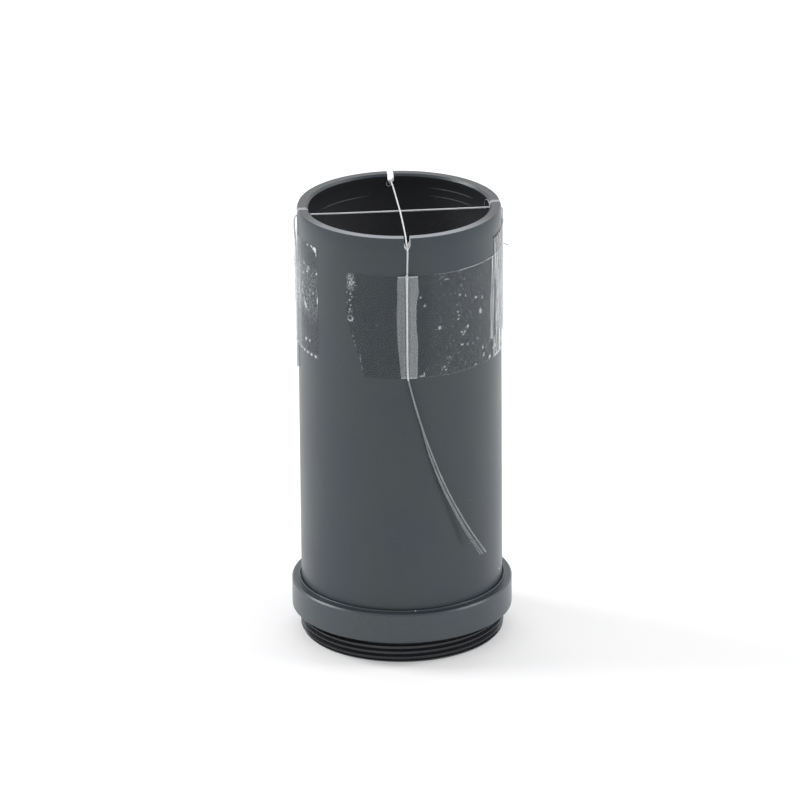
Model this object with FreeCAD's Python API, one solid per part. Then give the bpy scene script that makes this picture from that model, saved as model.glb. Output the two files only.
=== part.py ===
import FreeCAD, Part
import math
import os

# Collimation tube: a short dark tube on a screwed mounting ring. Two fine lines cross over its
# open top, in notches cut into the rim, and clear tape holds their ends on the wall.
# Millimetres and degrees, with Z up along the tube. The base of the ring is at z = 0.
# A bearing is counted from the front (-Y) towards the right (+X).

# Tube
overall_height = 80.0
tube_outer_dia = 36.0
tube_wall = 2.0
rim_outer_bevel = 0.12
rim_inner_bevel = 0.4

# Mounting ring: its walls are counted from the bore at the thread, and from the tube above it
thread_wall = 2.2
thread_length = 3.4
thread_lead_in = 0.6
relief_wall = 1.5
relief_length = 1.0
flange_wall = 1.7
flange_thickness = 5.4
flange_bevel = 0.3
socket_floor_height = 5.0
bond_clearance = 0.03
lip_height = 0.35
lip_wall = 0.26
lip_slope = 0.12
lip_gap = 0.14

# Notches in the rim: each pair is sawn along one straight cut across the tube
notch_width = 1.1
notch_point_angle = 60.0
side_cut_depth = 1.5
side_cut_turn = 5.56
side_cut_offset = -0.26
front_cut_depth = 2.1
front_cut_turn = 94.78
front_cut_offset = 0.1
cut_margin = 2.0

# Line: it stands off the corners of the rim, because it is stiff
line_dia = 0.3
line_sides = 8
line_wall_clearance = 0.02
line_seat_clearance = 0.01
corner_lift = 0.27
left_bow = 0.48
strand_pitch = 0.33
fold_width = 0.9
fold_rise = 0.3
tail_exit_bearing = 4.29
tail_exit_lean = 13.2
tail_exit_drop = 0.05

# Tape: each drop is counted from the rim down to the strip's upper edge
tape_width = 19.0
tape_thickness = 0.06
tape_clearance = 0.03
side_tape_length = 20.9
front_tape_drop = 6.95
left_tape_drop = 4.0
right_tape_drop = 3.5
back_tape_drop = 4.0
front_tape_left_bearing = -31.5
front_tape_right_bearing = 98.0
left_tape_bearing = -82.85
right_tape_bearing = 94.75
back_tape_bearing = 185.1
tent_foot = 4.8
loose_lift_low = 0.42
loose_lift_high = 0.95

# Sizes that follow
tube_radius = tube_outer_dia / 2
bore_radius = tube_radius - tube_wall
socket_radius = tube_radius + bond_clearance
thread_radius = bore_radius + thread_wall
relief_radius = bore_radius + relief_wall
flange_radius = tube_radius + flange_wall
flange_bottom = thread_length + relief_length
flange_top = flange_bottom + flange_thickness
line_radius = line_dia / 2
wall_line_radius = tube_radius + line_wall_clearance + line_radius
seat_rise = line_radius / math.sin(math.radians(notch_point_angle / 2)) + line_seat_clearance
side_line_height = overall_height - side_cut_depth + seat_rise
front_line_height = overall_height - front_cut_depth + seat_rise
film_radius = tube_radius + tape_clearance
film_step = tape_thickness + tape_clearance
front_tape_top = overall_height - front_tape_drop
front_tape_bottom = front_tape_top - tape_width
left_tape_bottom = overall_height - left_tape_drop - side_tape_length
right_tape_bottom = overall_height - right_tape_drop - side_tape_length
back_tape_bottom = overall_height - back_tape_drop - side_tape_length
tail_exit_height = front_tape_bottom - tail_exit_drop
tape_half_angle = math.degrees(tape_width / 2 / film_radius)

ORIGIN = FreeCAD.Vector(0, 0, 0)
UP = FreeCAD.Vector(0, 0, 1)


def at_bearing(radius, bearing, height):
    """The point at a radius, a bearing and a height."""
    angle = math.radians(bearing)
    return FreeCAD.Vector(radius * math.sin(angle), -radius * math.cos(angle), height)


def on_cut(turn, along, across, height):
    """The point counted along a saw cut from the middle of the tube, and across it."""
    angle = math.radians(turn)
    return FreeCAD.Vector(along * math.cos(angle) - across * math.sin(angle),
                          along * math.sin(angle) + across * math.cos(angle), height)


def cut_bearing(turn, offset, side):
    """The bearing at which a saw cut leaves the wall, on its side 1 or -1."""
    point = on_cut(turn, side * math.sqrt(tube_radius ** 2 - offset ** 2), offset, 0)
    return math.degrees(math.atan2(point.x, -point.y))


front_bearing = cut_bearing(front_cut_turn, front_cut_offset, -1)


def turned(profile):
    """The solid turned about Z from a closed list of (radius, height)."""
    points = [FreeCAD.Vector(radius, 0, height) for radius, height in profile]
    return Part.Face(Part.makePolygon(points + points[:1])).revolve(ORIGIN, UP, 360)


def saw_cut(depth, turn, offset):
    """The V-bottomed prism of one saw cut right across the rim."""
    half_width = notch_width / 2
    apex = overall_height - depth
    shoulder = apex + half_width / math.tan(math.radians(notch_point_angle / 2))
    above = overall_height + cut_margin
    reach = tube_radius + cut_margin
    outline = [(0, apex), (half_width, shoulder), (half_width, above),
               (-half_width, above), (-half_width, shoulder)]
    points = [FreeCAD.Vector(-reach, offset + across, height) for across, height in outline]
    cut = Part.Face(Part.makePolygon(points + points[:1])).extrude(FreeCAD.Vector(2 * reach, 0, 0))
    cut.rotate(ORIGIN, UP, turn)
    return cut


def make_tube():
    body = turned([
        (bore_radius, socket_floor_height),
        (tube_radius, socket_floor_height),
        (tube_radius, overall_height - rim_outer_bevel),
        (tube_radius - rim_outer_bevel, overall_height),
        (bore_radius + rim_inner_bevel, overall_height),
        (bore_radius, overall_height - rim_inner_bevel)])
    side_cut = saw_cut(side_cut_depth, side_cut_turn, side_cut_offset)
    front_cut = saw_cut(front_cut_depth, front_cut_turn, front_cut_offset)
    return body.cut([side_cut, front_cut])


def make_threaded_ring():
    """Male thread (its crests as a plain cylinder), relief, flange, and a lip round the socket."""
    lip_inner = socket_radius + lip_gap
    lip_outer = lip_inner + lip_wall
    lip_top = flange_top + lip_height
    return turned([
        (bore_radius, 0),
        (thread_radius - thread_lead_in, 0),
        (thread_radius, thread_lead_in),
        (thread_radius, thread_length),
        (relief_radius, thread_length),
        (relief_radius, flange_bottom),
        (flange_radius - flange_bevel, flange_bottom),
        (flange_radius, flange_bottom + flange_bevel),
        (flange_radius, flange_top - flange_bevel),
        (flange_radius - flange_bevel, flange_top),
        (lip_outer + lip_slope, flange_top),
        (lip_outer, lip_top - lip_slope),
        (lip_outer - lip_slope, lip_top),
        (lip_inner, lip_top - lip_slope),
        (lip_inner, flange_top - lip_height),
        (socket_radius, flange_top - lip_height - lip_gap),
        (socket_radius, socket_floor_height),
        (bore_radius, socket_floor_height)])


def rounded_route(name, points):
    """A wire of straight runs joined by tangent arcs as large as the runs allow."""
    edges = []
    radii = []
    start = points[0]
    for before, corner, after in zip(points, points[1:], points[2:]):
        back = before - corner
        ahead = after - corner
        reach = 0.45 * min(back.Length, ahead.Length)
        back.normalize()
        ahead.normalize()
        half_turn = (math.pi - back.getAngle(ahead)) / 2
        radius = reach / math.tan(half_turn)
        inward = (back + ahead).normalize()
        first = corner + back * reach
        last = corner + ahead * reach
        middle = corner + inward * (radius / math.cos(half_turn) - radius)
        edges.append(Part.LineSegment(start, first).toShape())
        edges.append(Part.Arc(first, middle, last).toShape())
        radii.append(round(radius, 2))
        start = last
    edges.append(Part.LineSegment(start, points[-1]).toShape())
    wire = Part.Wire(edges)
    print(name, "length", round(wire.Length, 2), "arc radii", radii)
    return wire


def strand(name, points):
    """The strand of line along a route. It is eight-sided instead of round, to stay light."""
    wire = rounded_route(name, points)
    ahead = (points[1] - points[0]).normalize()
    across = ahead.cross(FreeCAD.Vector(1, 0, 0)).normalize() * line_radius
    over = ahead.cross(across)
    corners = []
    for side in range(line_sides):
        angle = 2 * math.pi * (side + 0.5) / line_sides
        corners.append(points[0] + across * math.cos(angle) + over * math.sin(angle))
    section = Part.makePolygon(corners + corners[:1])
    solid = wire.makePipeShell([section], True, False)
    expected = Part.Face(section).Area * wire.Length
    print(name, "volume over section times length", round(solid.Volume / expected, 4))
    return solid


def make_line_left_right():
    """The lower line. Its left end bows off the wall above the tape and shows again below it."""
    route = [
        (-wall_line_radius - 0.10, left_tape_bottom - 4.6),
        (-wall_line_radius - 0.04, left_tape_bottom + 4.0),
        (-wall_line_radius, left_tape_bottom + 12.0),
        (-wall_line_radius - 0.12, side_line_height - 4.6),
        (-wall_line_radius - left_bow, side_line_height - 1.8),
        (-wall_line_radius - 0.24, side_line_height + 0.3),
        (-bore_radius - 0.1, side_line_height),
        (bore_radius + 0.2, side_line_height),
        (wall_line_radius + 0.25, side_line_height + 0.14),
        (wall_line_radius + corner_lift, side_line_height - 1.5),
        (wall_line_radius, side_line_height - 4.3),
        (wall_line_radius, right_tape_bottom + 0.6)]
    return strand("line_left_right", [on_cut(side_cut_turn, along, side_cut_offset, height)
                                      for along, height in route])


def make_line_front_back():
    """The upper line, from behind the tube over the lower line to the front tape's lower edge."""
    seat = front_line_height
    over = side_line_height + line_dia + 0.03
    route = [
        (wall_line_radius, 0, back_tape_bottom + 0.5),
        (wall_line_radius, 0, seat - 4.2),
        (wall_line_radius + corner_lift, 0, seat - 1.5),
        (wall_line_radius + corner_lift, 0, seat + 0.07),
        (bore_radius, 0.16, seat + 0.42),
        (1.3, 0.17, over),
        (-1.8, 0.20, over),
        (-0.7 * bore_radius, 0.22, seat + 0.36),
        (-bore_radius, 0.04, seat + 0.11),
        (-wall_line_radius - 0.24, 0, seat + 0.09),
        (-wall_line_radius - 0.17, 0, seat - 1.4)]
    points = [on_cut(front_cut_turn, along, front_cut_offset - bow, height)
              for along, bow, height in route]
    wall_run = [(front_bearing - 0.2, seat - 4.0), (front_bearing - 0.55, front_tape_bottom + 10.0)]
    points += [at_bearing(wall_line_radius, bearing, height) for bearing, height in wall_run]
    return strand("line_front_back", points + [before_exit(0), tail_exit(0)])


def tail_exit(layer):
    """Where a strand of the stack leaves the front tape, layer 0 being next to the wall."""
    return at_bearing(wall_line_radius + layer * strand_pitch, tail_exit_bearing, tail_exit_height)


def tail_heading():
    """The direction in which the strands leave the front tape."""
    bearing = math.radians(tail_exit_bearing)
    lean = math.radians(tail_exit_lean)
    return FreeCAD.Vector(math.sin(lean) * math.cos(bearing),
                          math.sin(lean) * math.sin(bearing), -math.cos(lean))


def before_exit(layer):
    """The last bend of a strand under the front tape."""
    return tail_exit(layer) - tail_heading() * 0.62


def make_line_hairpin():
    """The fold under the front tape: its legs close up and stack outward over the upper line."""
    inner = wall_line_radius + strand_pitch
    fold_top = front_tape_top + fold_rise
    half_fold = math.degrees(fold_width / 2 / inner)
    middle = front_bearing - 0.3
    return strand("line_hairpin", [
        tail_exit(1), before_exit(1), at_bearing(inner, middle - half_fold, fold_top),
        at_bearing(inner, middle + half_fold, fold_top), before_exit(2), tail_exit(2)])


def make_tails():
    """The three free ends, which fan out as they hang from the front tape's lower edge. Each
    point is a bearing, a distance out from the line on the wall and a drop from the exit."""
    routes = {
        "tail_first": [
            (8.71, 0.18, 5.96), (12.03, 0.44, 9.71), (14.60, 0.64, 13.49), (18.44, 0.86, 17.35),
            (22.85, 1.09, 21.28), (28.84, 1.52, 25.70), (34.74, 2.03, 30.02),
            (41.42, 2.90, 34.19)],
        "tail_second": [
            (8.56, 0.51, 5.83), (11.83, 0.76, 9.58), (14.49, 0.97, 13.35), (18.36, 1.20, 17.19),
            (22.77, 1.44, 21.10), (28.87, 1.88, 25.49), (34.98, 2.36, 29.78),
            (41.83, 3.20, 33.92)],
        "tail_third": [
            (8.62, 0.84, 5.71), (11.70, 1.11, 9.45), (15.45, 1.27, 13.27), (19.60, 1.41, 17.18),
            (24.25, 1.63, 21.14), (30.38, 2.12, 25.56), (36.67, 2.78, 29.87),
            (42.95, 3.62, 33.68)]}
    tails = {}
    for layer, (name, route) in enumerate(routes.items()):
        first = tail_exit(layer)
        second = first + tail_heading() * 3.08
        hanging = [at_bearing(wall_line_radius + out, bearing, tail_exit_height - drop)
                   for bearing, out, drop in route]
        tails[name] = strand(name, [first, second] + hanging)
    return tails


def film_edges(stations, height):
    """A film's plan outline as a closed ring of edges: arcs along the wall, straight lines over
    a line. The inner edges come first, then the last end, the outer edges and the first end."""
    sides = []
    for extra in (0, tape_thickness):
        edges = []
        for (bearing, radius), (next_bearing, next_radius) in zip(stations, stations[1:]):
            start = at_bearing(radius + extra, bearing, height)
            end = at_bearing(next_radius + extra, next_bearing, height)
            if radius == next_radius:
                middle = at_bearing(radius + extra, (bearing + next_bearing) / 2, height)
                edges.append(Part.Arc(start, middle, end).toShape())
            else:
                edges.append(Part.LineSegment(start, end).toShape())
        sides.append(edges)
    inner, outer = sides
    ends = []
    for bearing, radius in (stations[-1], stations[0]):
        ends.append(Part.LineSegment(at_bearing(radius, bearing, height),
                                     at_bearing(radius + tape_thickness, bearing, height)).toShape())
    return inner + ends[:1] + outer[::-1] + ends[1:]


def film(bottom, top, lower_stations, upper_stations):
    """A film between its lower and upper edges, each given as (bearing, inner radius) stations."""
    lower = film_edges(lower_stations, bottom)
    upper = film_edges(upper_stations, top)
    faces = [Part.makeRuledSurface(low, high) for low, high in zip(lower, upper)]
    faces += [Part.Face(Part.Wire(Part.__sortEdges__(edges))) for edges in (lower, upper)]
    shell = Part.makeShell(faces)
    shell.sewShape()
    return Part.makeSolid(shell)


def tented_strip(middle, bottom, line_bearing, lower_reach, upper_reach):
    """An upright strip that lies on the wall and tents over the line that it holds."""
    left = middle - tape_half_angle
    right = middle + tape_half_angle
    edges = []
    for reach in (lower_reach, upper_reach):
        top_radius = wall_line_radius + reach + line_radius + tape_clearance
        edges.append([
            (left, film_radius), (line_bearing - tent_foot, film_radius),
            (line_bearing - 0.5, top_radius), (line_bearing + 0.5, top_radius),
            (line_bearing + tent_foot, film_radius), (right, film_radius)])
    return film(bottom, bottom + side_tape_length, *edges)


def make_tape_left():
    line_bearing = cut_bearing(side_cut_turn, side_cut_offset, -1)
    return tented_strip(left_tape_bearing, left_tape_bottom, line_bearing, 0.06, left_bow + 0.07)


def make_tape_right():
    line_bearing = cut_bearing(side_cut_turn, side_cut_offset, 1)
    return tented_strip(right_tape_bearing, right_tape_bottom, line_bearing, 0, corner_lift + 0.01)


def make_tape_back():
    line_bearing = cut_bearing(front_cut_turn, front_cut_offset, 1) + 360
    return tented_strip(back_tape_bearing, back_tape_bottom, line_bearing, 0, corner_lift + 0.01)


def make_tape_front():
    """The long strip: tented over the stack of line, lapped over the right strip, loose there."""
    lapped = film_radius + film_step
    right_tape_edge = right_tape_bearing - tape_half_angle
    stack = wall_line_radius + line_radius + tape_clearance
    lower = [
        (front_tape_left_bearing, film_radius), (front_bearing - 4.2, film_radius),
        (front_bearing - 0.9, stack + 2 * strand_pitch),
        (front_bearing + 0.4, stack + 2 * strand_pitch),
        (front_bearing + tent_foot, film_radius), (right_tape_edge - 3.0, film_radius),
        (right_tape_edge - 0.5, lapped), (89.0, lapped),
        (93.8, lapped + 0.86 * loose_lift_low),
        (front_tape_right_bearing, lapped + loose_lift_low)]
    upper = [
        (front_tape_left_bearing, film_radius), (front_bearing - 5.4, film_radius),
        (front_bearing - 2.4, stack + strand_pitch),
        (front_bearing + 1.8, stack + strand_pitch),
        (front_bearing + 6.5, film_radius), (right_tape_edge - 3.0, film_radius),
        (right_tape_edge - 0.5, lapped), (89.0, lapped),
        (93.8, lapped + 0.65 * loose_lift_high),
        (front_tape_right_bearing, lapped + loose_lift_high)]
    strip = film(front_tape_bottom, front_tape_top, lower, upper)
    torn_x = tube_radius * math.sin(math.radians(front_tape_left_bearing))
    outline = [
        (torn_x + 0.15, front_tape_top + cut_margin), (torn_x + 0.05, front_tape_bottom + 11),
        (torn_x + 3.2, front_tape_bottom), (torn_x + 3.2, front_tape_bottom - cut_margin),
        (torn_x - 3, front_tape_bottom - cut_margin), (torn_x - 3, front_tape_top + cut_margin)]
    points = [FreeCAD.Vector(x, -tube_radius - cut_margin, z) for x, z in outline]
    torn = Part.Face(Part.makePolygon(points + points[:1])).extrude(
        FreeCAD.Vector(0, tube_radius, 0))
    return strip.cut(torn)


def main():
    os.makedirs("parts", exist_ok=True)
    nodes = {
        "tube": make_tube(),
        "threaded_ring": make_threaded_ring(),
        "line_left_right": make_line_left_right(),
        "line_front_back": make_line_front_back(),
        "line_hairpin": make_line_hairpin(),
        "tape_front": make_tape_front(),
        "tape_left": make_tape_left(),
        "tape_right": make_tape_right(),
        "tape_back": make_tape_back()}
    nodes.update(make_tails())
    for name, shape in nodes.items():
        shape.exportStep("parts/" + name + ".step")
        box = shape.BoundBox
        print(name, shape.ShapeType, len(shape.Solids), "solid", "valid", shape.isValid(),
              "x", round(box.XMin, 2), round(box.XMax, 2), "y", round(box.YMin, 2),
              round(box.YMax, 2), "z", round(box.ZMin, 2), round(box.ZMax, 2))


main()
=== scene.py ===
# %% [markdown]
# # A collimation tube with crossed lines
# The object is a short anodised tube with a male thread at its foot. Four notches are sawn in its
# rim, and two clear lines lie across its mouth, with their ends taped to the wall.
# The construction arrives as a fixed frame. This lesson dresses it: turned metal, sawn notches,
# a true thread, springy line and clear sticky tape.

# %% Load the frame
import math

import bmesh
import bpy
from mathutils import Euler, Matrix, Vector, noise


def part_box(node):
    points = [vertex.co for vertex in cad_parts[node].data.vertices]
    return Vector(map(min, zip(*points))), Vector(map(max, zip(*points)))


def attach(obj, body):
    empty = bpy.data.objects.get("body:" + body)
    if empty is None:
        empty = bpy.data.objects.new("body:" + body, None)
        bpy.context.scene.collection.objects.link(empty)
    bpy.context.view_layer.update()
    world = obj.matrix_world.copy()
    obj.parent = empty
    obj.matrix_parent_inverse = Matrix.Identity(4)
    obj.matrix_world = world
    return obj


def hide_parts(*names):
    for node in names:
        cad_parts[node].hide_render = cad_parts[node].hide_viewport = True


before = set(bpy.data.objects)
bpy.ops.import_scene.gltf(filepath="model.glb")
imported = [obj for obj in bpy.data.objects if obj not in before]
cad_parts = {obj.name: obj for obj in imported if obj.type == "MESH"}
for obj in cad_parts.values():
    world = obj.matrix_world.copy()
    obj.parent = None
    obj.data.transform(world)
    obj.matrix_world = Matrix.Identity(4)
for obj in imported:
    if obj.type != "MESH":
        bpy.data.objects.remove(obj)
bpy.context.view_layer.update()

MM = 0.001
print("frame nodes", len(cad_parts))

# %% [markdown]
# ## Sizes from the frame
# The tube, its rim and the flange take their sizes from the frame's own boxes. What a box can't
# tell, such as the thread's depth or the route of a line, is typed in millimetres.

# %% Sizes
tube_low, tube_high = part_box("tube")
ring_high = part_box("threaded_ring")[1]
TUBE_R = tube_high.x
RIM_Z = tube_high.z
FLANGE_R = ring_high.x
WALL = 2.0 * MM
BORE_R = TUBE_R - WALL
ROUND = 256
print("tube radius", round(TUBE_R, 5), "rim", round(RIM_Z, 5), "flange radius", round(FLANGE_R, 5))

# %% [markdown]
# ## The camera
# A long lens looks down on the tube by 21 degrees. The tiny roll is the photograph's own: the
# tube leans half a degree to the left in it. A camera looks along its own -Z, so it is tipped
# up from straight down, and then rolled about its own axis.

# %% Camera
VIEW_ELEVATION = 0.370996
VIEW_ROLL = -0.008371
VIEW_DISTANCE = 1225.63 * MM
VIEW_LENS = 310.352
VIEW_TARGET = Vector((-0.088, 0, 43.075)) * MM
camera_data = bpy.data.cameras.new("camera")
camera_data.sensor_width = 36
camera_data.lens = VIEW_LENS
camera_data.clip_start = 0.05
camera = bpy.data.objects.new("camera", camera_data)
bpy.context.scene.collection.objects.link(camera)
turn = Euler((math.pi / 2 - VIEW_ELEVATION, 0, 0)).to_matrix()
camera.rotation_euler = (turn @ Matrix.Rotation(VIEW_ROLL, 3, "Z")).to_euler()
camera.location = VIEW_TARGET + turn @ Vector((0, 0, VIEW_DISTANCE))
bpy.context.scene.camera = camera
print("camera at", [round(c, 4) for c in camera.location])

# %% [markdown]
# ## Helpers for modelling by hand
# An operator acts on whatever is selected, so each step first selects one object, or in edit
# mode only the faces and edges that a rule picks by their place.

# %% Modelling helpers
def only(piece):
    """Selects one object alone."""
    bpy.ops.object.select_all(action="DESELECT")
    piece.select_set(True)
    bpy.context.view_layer.objects.active = piece


def new_piece(name):
    """Takes the primitive that was just added, names it and selects it alone."""
    piece = bpy.context.object
    piece.name = name
    piece.data.name = name
    only(piece)
    return piece


def turned_blank(name, radius, low, high):
    """A plain upright cylinder between two heights."""
    bpy.ops.mesh.primitive_cylinder_add(vertices=ROUND, radius=radius, depth=high - low,
                                        location=(0, 0, (high + low) / 2))
    blank = new_piece(name)
    bpy.ops.object.transform_apply(location=True, rotation=True, scale=True)
    return blank


def start_edit(piece, kind):
    only(piece)
    bpy.ops.object.mode_set(mode="EDIT")
    bpy.ops.mesh.select_mode(type=kind)
    bpy.ops.mesh.select_all(action="DESELECT")


def end_edit():
    bpy.ops.object.mode_set(mode="OBJECT")


def pick(piece, items, rule):
    """Selects the faces or edges of the mesh in edit mode that pass a rule."""
    mesh = bmesh.from_edit_mesh(piece.data)
    bpy.ops.mesh.select_all(action="DESELECT")
    for item in getattr(mesh, items):
        if rule(item):
            item.select_set(True)
    bmesh.update_edit_mesh(piece.data)


def ring_edges(radius, height, slack=0.02 * MM):
    """A rule for the edges of one level circle."""
    def rule(edge):
        return all(abs(v.co.z - height) < slack and abs(v.co.xy.length - radius) < slack
                   for v in edge.verts)
    return rule


def cap_at(height, slack=0.01 * MM):
    """A rule for a level face at one height."""
    def rule(face):
        return all(abs(v.co.z - height) < slack for v in face.verts)
    return rule


def extrude_up(height):
    """Extrudes the picked faces along Z, or down where the height is negative."""
    bpy.ops.mesh.extrude_region_move(TRANSFORM_OT_translate={"value": (0, 0, height)})


def chamfer_ring(piece, radius, height, width):
    """Breaks the edge of one level circle, in edit mode with edges picked."""
    pick(piece, "edges", ring_edges(radius, height))
    bpy.ops.mesh.bevel(offset=width, segments=1, affect="EDGES")


def put_modifier(piece, kind, **settings):
    """Adds a modifier, sets it and applies it."""
    only(piece)
    modifier = piece.modifiers.new(kind.lower(), kind)
    for key, value in settings.items():
        setattr(modifier, key, value)
    bpy.ops.object.modifier_apply(modifier=modifier.name)


def combine(piece, tool, operation):
    """A boolean with a tool that is used up by it. Cut faces keep the tool's material."""
    put_modifier(piece, "BOOLEAN", object=tool, operation=operation, solver="EXACT",
                 material_mode="TRANSFER")
    bpy.data.objects.remove(tool)


def smooth(piece, degrees=32):
    only(piece)
    bpy.ops.object.shade_smooth_by_angle(angle=math.radians(degrees))


def finish_piece(piece, slot, *nodes):
    """The piece rides on the one body and stands for its nodes, which it hides. The slot is not
    used.
    """
    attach(piece, "root")
    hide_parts(*nodes)
    print(piece.name, "done")


def wall_point(bearing, radius, height):
    """A point by bearing, in degrees from the front towards the right, radius and height."""
    angle = math.radians(bearing)
    return Vector((radius * math.sin(angle), -radius * math.cos(angle), height))


# %% [markdown]
# ## Shared finishes
# Some effects belong to more than one material. Each is a node group with named inputs, built
# once: the fine rings that a lathe tool leaves, the cloudy tone of dyed anodising, and a field
# of tiny specks for dust and pinholes.

# %% Node helpers
def make_group(name, inputs, outputs):
    group = bpy.data.node_groups.new(name, "ShaderNodeTree")
    for label, kind, default in inputs:
        socket = group.interface.new_socket(label, in_out="INPUT", socket_type=kind)
        socket.default_value = default
    for label, kind in outputs:
        group.interface.new_socket(label, in_out="OUTPUT", socket_type=kind)
    return group, group.nodes.new("NodeGroupInput"), group.nodes.new("NodeGroupOutput")


def add(tree, kind, **settings):
    node = tree.nodes.new(kind)
    for key, value in settings.items():
        setattr(node, key, value)
    return node


def feed(tree, socket, value):
    """Links a socket to another one, or sets it where the value is a constant."""
    if hasattr(value, "links"):
        tree.links.new(value, socket)
    else:
        socket.default_value = value


def set_inputs(tree, node, **values):
    """Feeds the inputs of a node by name, with an underscore for each space."""
    for label, value in values.items():
        feed(tree, node.inputs[label.replace("_", " ")], value)


def arithmetic(tree, operation, *values, clamp=False):
    """A Math node. Each value is a socket or a number."""
    node = add(tree, "ShaderNodeMath", operation=operation, use_clamp=clamp)
    for slot, value in zip(node.inputs, values):
        feed(tree, slot, value)
    return node.outputs[0]


def blend_colour(tree, factor, first, second):
    """A Mix node for colours. Each side is a socket or a colour."""
    node = add(tree, "ShaderNodeMix", data_type="RGBA")
    for slot, value in ((0, factor), (6, first), (7, second)):
        feed(tree, node.inputs[slot], value)
    return node.outputs[2]


def noise_value(tree, vector, scale, detail=3.0, roughness=0.55):
    node = add(tree, "ShaderNodeTexNoise")
    set_inputs(tree, node, Vector=vector, Scale=scale, Detail=detail, Roughness=roughness)
    return node.outputs[0]


def ramp(tree, value, low, high):
    """Stretches a value between two levels to 0 and 1."""
    node = add(tree, "ShaderNodeMapRange", clamp=True)
    set_inputs(tree, node, Value=value, From_Min=low, From_Max=high)
    return node.outputs[0]


def stretched(tree, scale=(1.0, 1.0, 1.0)):
    """Object coordinates, scaled apart along each axis."""
    coordinate = add(tree, "ShaderNodeTexCoord")
    mapping = add(tree, "ShaderNodeMapping")
    set_inputs(tree, mapping, Vector=coordinate.outputs["Object"], Scale=scale)
    return mapping.outputs[0]


def axes(tree):
    """Object coordinates as three separate values."""
    parts = add(tree, "ShaderNodeSeparateXYZ")
    tree.links.new(stretched(tree), parts.inputs[0])
    return parts.outputs


# %% Lathe rings
turning_group, group_in, group_out = make_group(
    "lathe_rings",
    [("Rings per metre", "NodeSocketFloat", 4000.0), ("Depth", "NodeSocketFloat", 0.5)],
    [("Height", "NodeSocketFloat")])
around = stretched(turning_group, (8.0, 8.0, 0.0))
ring_axis = add(turning_group, "ShaderNodeCombineXYZ")
ring_step = arithmetic(turning_group, "MULTIPLY", axes(turning_group)["Z"],
                       group_in.outputs["Rings per metre"])
turning_group.links.new(ring_step, ring_axis.inputs["Z"])
wander = noise_value(turning_group, around, 6.0, 1.0)
turning_group.links.new(wander, ring_axis.inputs["X"])
ring_noise = noise_value(turning_group, ring_axis.outputs[0], 1.0, 4.0, 0.7)
turning_group.links.new(arithmetic(turning_group, "MULTIPLY", ring_noise,
                                   group_in.outputs["Depth"]), group_out.inputs["Height"])

# %% Anodised tone
tone_group, group_in, group_out = make_group(
    "anodised_tone",
    [("Colour", "NodeSocketColor", (0.03, 0.03, 0.03, 1)),
     ("Tint", "NodeSocketColor", (0.03, 0.03, 0.05, 1)),
     ("Mottle", "NodeSocketFloat", 0.25), ("Roughness", "NodeSocketFloat", 0.4)],
    [("Colour", "NodeSocketColor"), ("Roughness", "NodeSocketFloat"),
     ("Grain", "NodeSocketFloat")])
cloud = noise_value(tone_group, stretched(tone_group, (1.0, 1.0, 0.6)), 110.0, 3.0)
fine = noise_value(tone_group, stretched(tone_group), 5200.0, 2.0)
tinted = blend_colour(tone_group, ramp(tone_group, cloud, 0.42, 0.62),
                      group_in.outputs["Colour"], group_in.outputs["Tint"])
speckle = arithmetic(tone_group, "MULTIPLY_ADD", arithmetic(tone_group, "SUBTRACT", fine, 0.5),
                     group_in.outputs["Mottle"], 1.0)
shade = add(tone_group, "ShaderNodeVectorMath", operation="SCALE")
tone_group.links.new(tinted, shade.inputs[0])
tone_group.links.new(speckle, shade.inputs["Scale"])
tone_group.links.new(shade.outputs[0], group_out.inputs["Colour"])
rough_shift = arithmetic(tone_group, "MULTIPLY", arithmetic(tone_group, "SUBTRACT", cloud, 0.5),
                         0.18)
tone_group.links.new(arithmetic(tone_group, "ADD", group_in.outputs["Roughness"], rough_shift),
                     group_out.inputs["Roughness"])
tone_group.links.new(fine, group_out.inputs["Grain"])

# %% Specks
speck_group, group_in, group_out = make_group(
    "specks",
    [("Scale", "NodeSocketFloat", 900.0), ("Size", "NodeSocketFloat", 0.1),
     ("Share", "NodeSocketFloat", 0.2)],
    [("Mask", "NodeSocketFloat")])
cells = add(speck_group, "ShaderNodeTexVoronoi", feature="F1")
speck_group.links.new(stretched(speck_group), cells.inputs["Vector"])
speck_group.links.new(group_in.outputs["Scale"], cells.inputs["Scale"])
near = arithmetic(speck_group, "LESS_THAN", cells.outputs["Distance"], group_in.outputs["Size"])
chance = add(speck_group, "ShaderNodeSeparateColor")
speck_group.links.new(cells.outputs["Color"], chance.inputs[0])
chosen = arithmetic(speck_group, "LESS_THAN", chance.outputs[0], group_in.outputs["Share"])
speck_group.links.new(arithmetic(speck_group, "MULTIPLY", near, chosen),
                      group_out.inputs["Mask"])
print("node groups", [group.name for group in bpy.data.node_groups])

# %% [markdown]
# ## Materials
# Dark dyed aluminium looks almost black face on and pale at grazing angles, because its clear
# oxide skin mirrors more there. A dark base with an ordinary specular layer does the same.
# Sawn metal is bare and bright. The bore is the blackest: it has to swallow stray light.

# %% Material helpers
def new_material(name):
    material = bpy.data.materials.new(name)
    material.use_nodes = True
    tree = material.node_tree
    return material, tree, tree.nodes["Principled BSDF"]


def use_group(tree, group, **values):
    node = add(tree, "ShaderNodeGroup", node_tree=group)
    set_inputs(tree, node, **values)
    return node


def bump(tree, shader, height, distance, strength=1.0):
    node = add(tree, "ShaderNodeBump")
    set_inputs(tree, node, Strength=strength, Distance=distance, Height=height)
    tree.links.new(node.outputs[0], shader.inputs["Normal"])


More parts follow.
